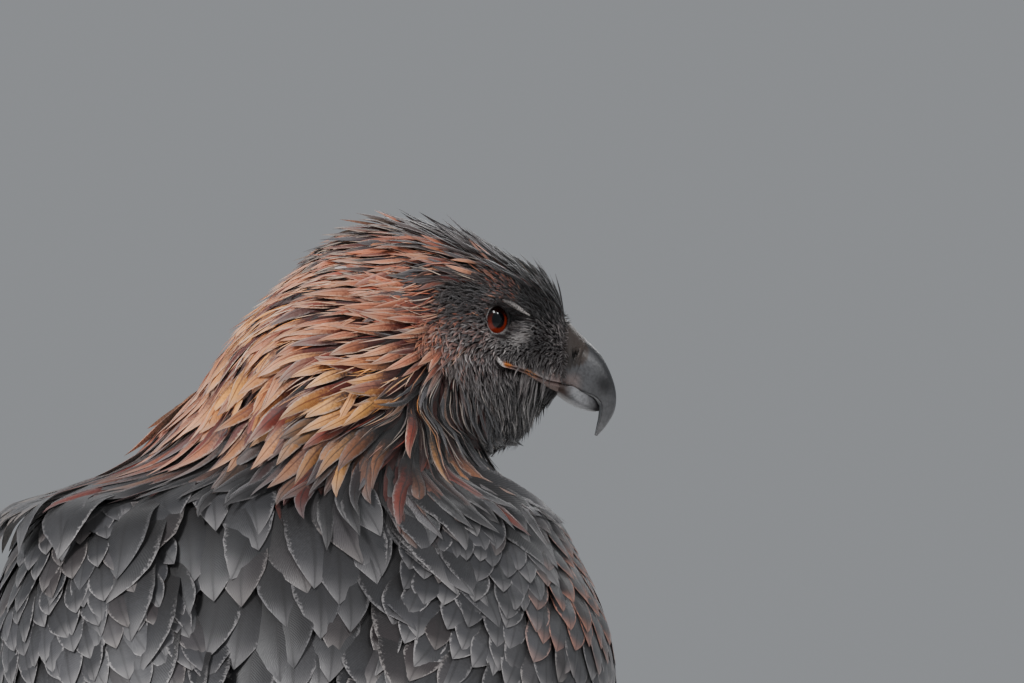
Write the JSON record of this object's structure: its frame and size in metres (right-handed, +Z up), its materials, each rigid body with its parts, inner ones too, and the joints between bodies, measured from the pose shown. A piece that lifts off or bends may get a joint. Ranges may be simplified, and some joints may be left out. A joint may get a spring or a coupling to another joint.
{
  "type": "golden eagle, still life-size model",
  "caption": "Life-size model of a standing golden eagle with folded wings, looking over its right shoulder; a still display figure that stands on its own feet.",
  "frame": {"origin": "on the floor under the middle of the whole bird's box", "axes": "+Z up; the body faces -Y; the bird's right side is -X, and the bill points to -X because the head is turned"},
  "size_m": [0.2708, 0.4915, 0.6437],
  "materials": {
    "plumage": "matt charcoal-brown body feathers with paler edges",
    "hackles": "narrow pointed golden to salmon hackles over dark bases",
    "flight_feathers": "smooth dark flight and tail feathers with grey bars and pale shafts",
    "leg_feathers": "short dense pale brown feathers down to the toes",
    "bill": "horn, slate grey with a darker ridge and a paler tip of the hook",
    "cere": "waxy brown-grey skin at the root of the bill",
    "foot_skin": "yellow scaly skin with broad scutes toward the claws",
    "claw": "black horn, smooth and slightly glossy",
    "eye": "wet clear cornea over a deep amber iris and black pupil"
  },
  "bodies": {
    "root": {"bill_lower": "bill", "bill_upper": "bill", "cere": "cere", "claw_hind_left": "claw", "claw_hind_right": "claw", "claw_inner_left": "claw", "claw_inner_right": "claw", "claw_middle_left": "claw", "claw_middle_right": "claw", "claw_outer_left": "claw", "claw_outer_right": "claw", "eye_left": "eye", "eye_right": "eye", "head": "hackles", "neck": "hackles", "tail": "flight_feathers", "tarsus_left": "leg_feathers", "tarsus_right": "leg_feathers", "thigh_left": "plumage", "thigh_right": "plumage", "toe_hind_left": "foot_skin", "toe_hind_right": "foot_skin", "toe_inner_left": "foot_skin", "toe_inner_right": "foot_skin", "toe_middle_left": "foot_skin", "toe_middle_right": "foot_skin", "toe_outer_left": "foot_skin", "toe_outer_right": "foot_skin", "torso": "plumage", "wing_left": "flight_feathers", "wing_right": "flight_feathers"}
  },
  "joints": []
}
